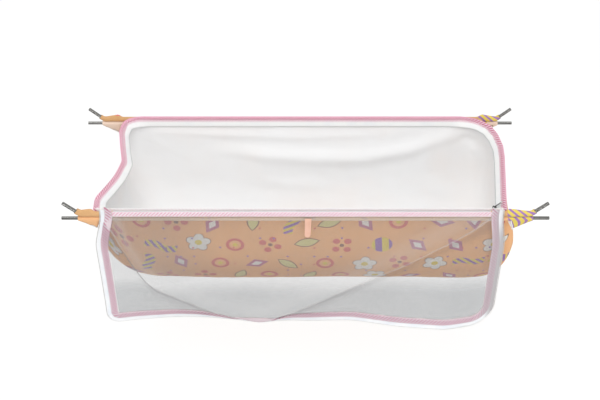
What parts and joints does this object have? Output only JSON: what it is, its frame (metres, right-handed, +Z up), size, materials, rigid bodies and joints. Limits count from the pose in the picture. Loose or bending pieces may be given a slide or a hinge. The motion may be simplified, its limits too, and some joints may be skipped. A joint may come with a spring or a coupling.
{
  "type": "hanging baby cradle",
  "caption": "Cloth hammock cradle hung from steel rods in cloth casings, with a white lining, zip edging and a net cover that hangs open in front.",
  "frame": {"origin": "midpoint of the four places where the hanging ropes hold the rods, level with the axes of the two straight rails", "axes": "+X along the cradle, +Y away from the side where the net cover hangs, +Z up towards the ropes"},
  "size_m": [1.092, 0.4355, 0.3517],
  "materials": {
    "printed_cotton": "matte",
    "lining_cotton": "matte",
    "rod_steel": "satin",
    "pink_overlock": "matte",
    "white_tape": "matte",
    "zip_coil": "satin",
    "zip_metal": "satin",
    "net": "matte"
  },
  "bodies": {
    "cradle": {"body_front_wall": "printed_cotton", "body_base": "printed_cotton", "body_back_wall": "printed_cotton", "body_left_end": "printed_cotton", "body_right_end": "printed_cotton", "body_lining": "lining_cotton", "front_rail": "rod_steel", "back_rail": "rod_steel", "front_hanger_rod": "rod_steel", "back_hanger_rod": "rod_steel", "front_rod_casing": "printed_cotton", "back_rod_casing": "printed_cotton", "front_rail_pocket": "printed_cotton", "back_rail_pocket": "printed_cotton", "rim_seam_front": "pink_overlock", "rim_seam_loop": "pink_overlock", "rim_zip_tape": "white_tape", "rim_zip_coil": "zip_coil", "rim_stop_left": "zip_metal", "rim_stop_right": "zip_metal", "cover_heading": "net"},
    "net_cover": {"net_panel": "net", "cover_hem": "net", "cover_zip_coil": "zip_coil", "cover_zip_tape": "white_tape", "cover_seam": "pink_overlock"},
    "keeper_tab": {"keeper_tab": "printed_cotton"},
    "zip_slider": {"zip_slider": "zip_metal"},
    "zip_pull": {"zip_pull": "zip_metal"}
  },
  "joints": [
    {"name": "cover_swing", "type": "hinge", "parent": "cradle", "child": "net_cover", "pos_m": [0, -0.1961, 0.0243], "axis": [-1, 0, 0], "range_deg": [0, 262]},
    {"name": "tab_swing", "type": "hinge", "parent": "net_cover", "child": "keeper_tab", "pos_m": [0.018, -0.1993, 0.0063], "axis": [-1, 0, 0], "range_deg": [0, 70]},
    {"name": "zip_slide", "type": "slide", "parent": "cradle", "child": "zip_slider", "axis": [0.1555, 0.9878, 0], "range_m": [-0.007, 0.148]},
    {"name": "pull_swing", "type": "hinge", "parent": "zip_slider", "child": "zip_pull", "pos_m": [0.43445, -0.15593, 0.00367], "axis": [-0.1555, -0.9878, 0], "range_deg": [-12, 160]}
  ]
}
